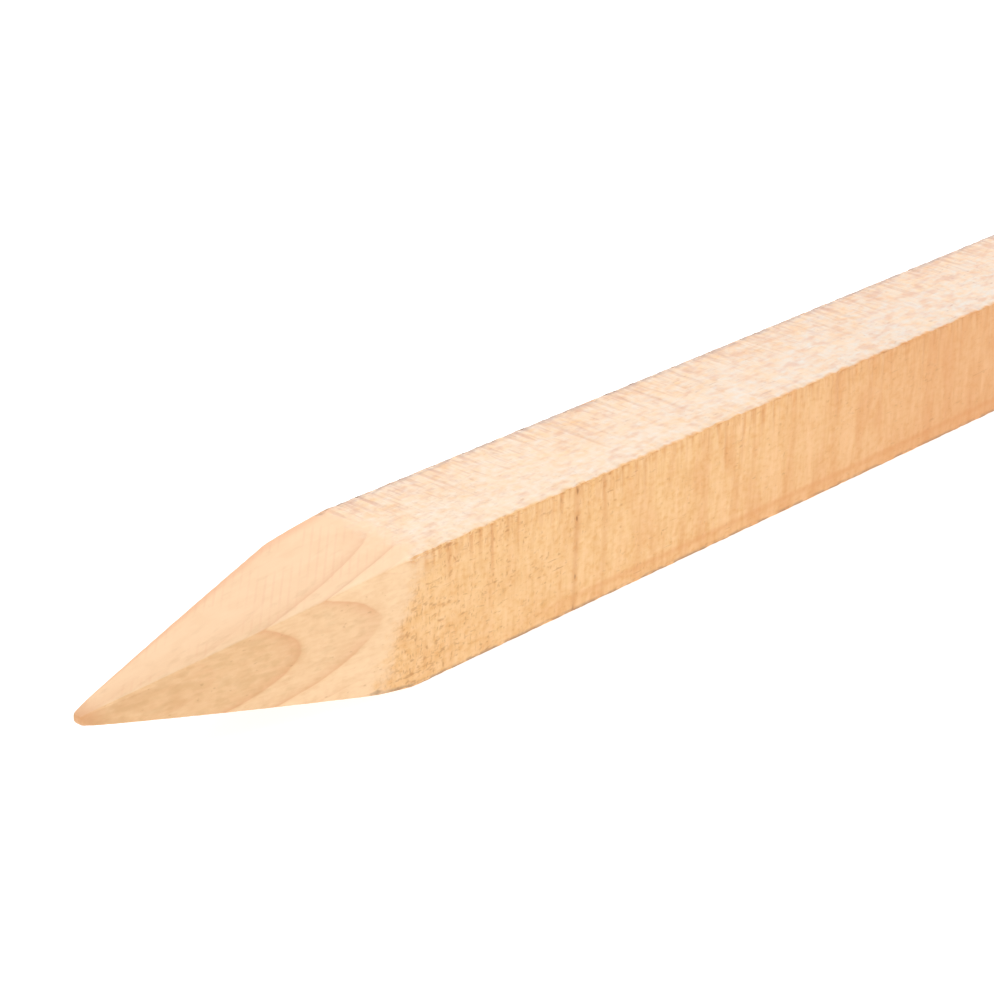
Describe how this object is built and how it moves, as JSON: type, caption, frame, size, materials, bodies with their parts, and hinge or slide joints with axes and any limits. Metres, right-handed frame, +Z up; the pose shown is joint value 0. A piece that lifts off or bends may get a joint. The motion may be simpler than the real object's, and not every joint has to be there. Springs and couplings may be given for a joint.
{
  "type": "pointed timber stake",
  "caption": "Square sawn hardwood stake with a four-sided point, driven into the ground to carry a fence rail, board or line.",
  "frame": {"origin": "on the stake's lower face, halfway along it and halfway across it", "axes": "+X along the stake from the point to the head, +Z up from the lower face, +Y across to the back face"},
  "size_m": [0.5, 0.04, 0.04],
  "materials": {
    "sawn_hardwood": "bare, rough sawn on the four faces, smooth cut on the point"
  },
  "bodies": {
    "root": {"timber_stake": "sawn_hardwood"}
  },
  "joints": []
}
